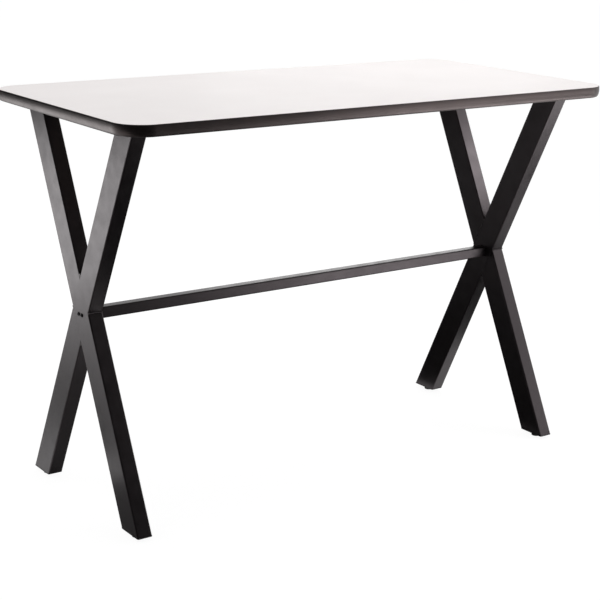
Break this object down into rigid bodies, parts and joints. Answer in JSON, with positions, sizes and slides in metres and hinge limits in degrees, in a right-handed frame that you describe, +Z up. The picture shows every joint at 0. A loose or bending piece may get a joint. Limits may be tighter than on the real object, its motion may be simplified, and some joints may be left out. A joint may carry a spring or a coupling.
{
  "type": "collaboration table",
  "caption": "Standing-height rectangular table: white laminate top with a black moulded edge on X-shaped steel tube frames joined by a stretcher, on levelling glides.",
  "frame": {"origin": "centre of the table on the floor", "axes": "+X along the length to the right, +Y along the depth away from the viewer, +Z up"},
  "size_m": [1.524, 0.762, 1.054],
  "materials": {
    "white_laminate": "satin high pressure laminate",
    "brown_backer": "plain backing laminate",
    "fibreboard": "bare board",
    "black_edge": "satin moulded polyurethane",
    "black_powder_coat": "satin fine texture powder coat",
    "black_nylon": "moulded nylon",
    "black_oxide": "blackened steel",
    "bare_steel": "mill finish",
    "zinc_plate": "bright zinc plate"
  },
  "bodies": {
    "table": {"top_laminate": "white_laminate", "top_core": "fibreboard", "underside_backer": "brown_backer", "top_edge": "black_edge", "stretcher_tube": "black_powder_coat", "left_long_leg": "black_powder_coat", "left_upper_half_leg": "black_powder_coat", "left_lower_half_leg": "black_powder_coat", "left_mounting_plate": "black_powder_coat", "left_stretcher_block": "bare_steel", "left_bolt_spacer_1": "bare_steel", "left_stretcher_bolt_1": "black_oxide", "left_bolt_spacer_2": "bare_steel", "left_stretcher_bolt_2": "black_oxide", "left_top_screw_1": "zinc_plate", "left_top_screw_2": "zinc_plate", "left_top_screw_3": "zinc_plate", "left_top_screw_4": "zinc_plate", "left_top_screw_5": "zinc_plate", "right_long_leg": "black_powder_coat", "right_upper_half_leg": "black_powder_coat", "right_lower_half_leg": "black_powder_coat", "right_mounting_plate": "black_powder_coat", "right_stretcher_block": "bare_steel", "right_bolt_spacer_1": "bare_steel", "right_stretcher_bolt_1": "black_oxide", "right_bolt_spacer_2": "bare_steel", "right_stretcher_bolt_2": "black_oxide", "right_top_screw_1": "zinc_plate", "right_top_screw_2": "zinc_plate", "right_top_screw_3": "zinc_plate", "right_top_screw_4": "zinc_plate", "right_top_screw_5": "zinc_plate", "near_left_leg_plug": "black_nylon", "near_left_plug_nut": "zinc_plate", "far_left_leg_plug": "black_nylon", "far_left_plug_nut": "zinc_plate", "near_right_leg_plug": "black_nylon", "near_right_plug_nut": "zinc_plate", "far_right_leg_plug": "black_nylon", "far_right_plug_nut": "zinc_plate"},
    "near_left_glide_pad": {"near_left_glide_pad": "black_nylon"},
    "near_left_glide_stud": {"near_left_glide_stud": "zinc_plate"},
    "far_left_glide_pad": {"far_left_glide_pad": "black_nylon"},
    "far_left_glide_stud": {"far_left_glide_stud": "zinc_plate"},
    "near_right_glide_pad": {"near_right_glide_pad": "black_nylon"},
    "near_right_glide_stud": {"near_right_glide_stud": "zinc_plate"},
    "far_right_glide_pad": {"far_right_glide_pad": "black_nylon"},
    "far_right_glide_stud": {"far_right_glide_stud": "zinc_plate"}
  },
  "joints": [
    {"name": "near_left_glide_height", "type": "slide", "parent": "table", "child": "near_left_glide_pad", "axis": [0, 0, -1], "range_m": [0, 0.01]},
    {"name": "near_left_glide_screw", "type": "hinge", "parent": "near_left_glide_pad", "child": "near_left_glide_stud", "pos_m": [-0.67535, -0.25144, 0.02], "axis": [0, 0, -1], "range_deg": [0, 2881]},
    {"name": "far_left_glide_height", "type": "slide", "parent": "table", "child": "far_left_glide_pad", "axis": [0, 0, -1], "range_m": [0, 0.01]},
    {"name": "far_left_glide_screw", "type": "hinge", "parent": "far_left_glide_pad", "child": "far_left_glide_stud", "pos_m": [-0.67535, 0.25144, 0.02], "axis": [0, 0, -1], "range_deg": [0, 2881]},
    {"name": "near_right_glide_height", "type": "slide", "parent": "table", "child": "near_right_glide_pad", "axis": [0, 0, -1], "range_m": [0, 0.01]},
    {"name": "near_right_glide_screw", "type": "hinge", "parent": "near_right_glide_pad", "child": "near_right_glide_stud", "pos_m": [0.67535, -0.25144, 0.02], "axis": [0, 0, -1], "range_deg": [0, 2881]},
    {"name": "far_right_glide_height", "type": "slide", "parent": "table", "child": "far_right_glide_pad", "axis": [0, 0, -1], "range_m": [0, 0.01]},
    {"name": "far_right_glide_screw", "type": "hinge", "parent": "far_right_glide_pad", "child": "far_right_glide_stud", "pos_m": [0.67535, 0.25144, 0.02], "axis": [0, 0, -1], "range_deg": [0, 2881]}
  ],
  "couplings": [
    {"joint": "near_left_glide_screw", "follows": "near_left_glide_height", "rad_per_m": 5026.5},
    {"joint": "far_left_glide_screw", "follows": "far_left_glide_height", "rad_per_m": 5026.5},
    {"joint": "near_right_glide_screw", "follows": "near_right_glide_height", "rad_per_m": 5026.5},
    {"joint": "far_right_glide_screw", "follows": "far_right_glide_height", "rad_per_m": 5026.5}
  ]
}
